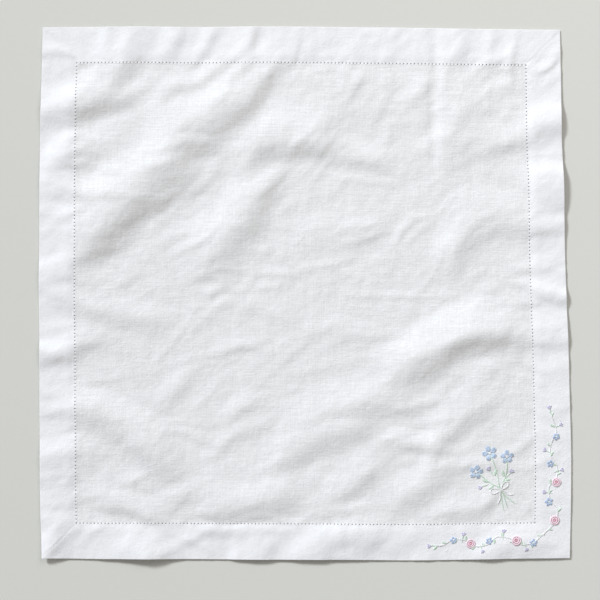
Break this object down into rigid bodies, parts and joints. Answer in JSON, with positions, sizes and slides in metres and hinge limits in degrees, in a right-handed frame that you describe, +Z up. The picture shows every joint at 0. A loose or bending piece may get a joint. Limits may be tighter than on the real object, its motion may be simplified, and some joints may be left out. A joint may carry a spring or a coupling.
{
  "type": "linen handkerchief",
  "caption": "Square white linen handkerchief laid out flat in soft folds, with a wide mitred hem, a row of open hemstitching and a small embroidered corner.",
  "frame": {"origin": "centre of the cloth's outline, on the surface that it lies on", "axes": "+Z up from that surface, +X towards the right edge and +Y towards the top edge as the cloth is seen from above, with the embroidered corner at +X -Y"},
  "size_m": [0.4313, 0.4324, 0.0075],
  "materials": {
    "linen": "matt, sheer plain weave"
  },
  "bodies": {
    "root": {"handkerchief_cloth": "linen"}
  },
  "joints": []
}
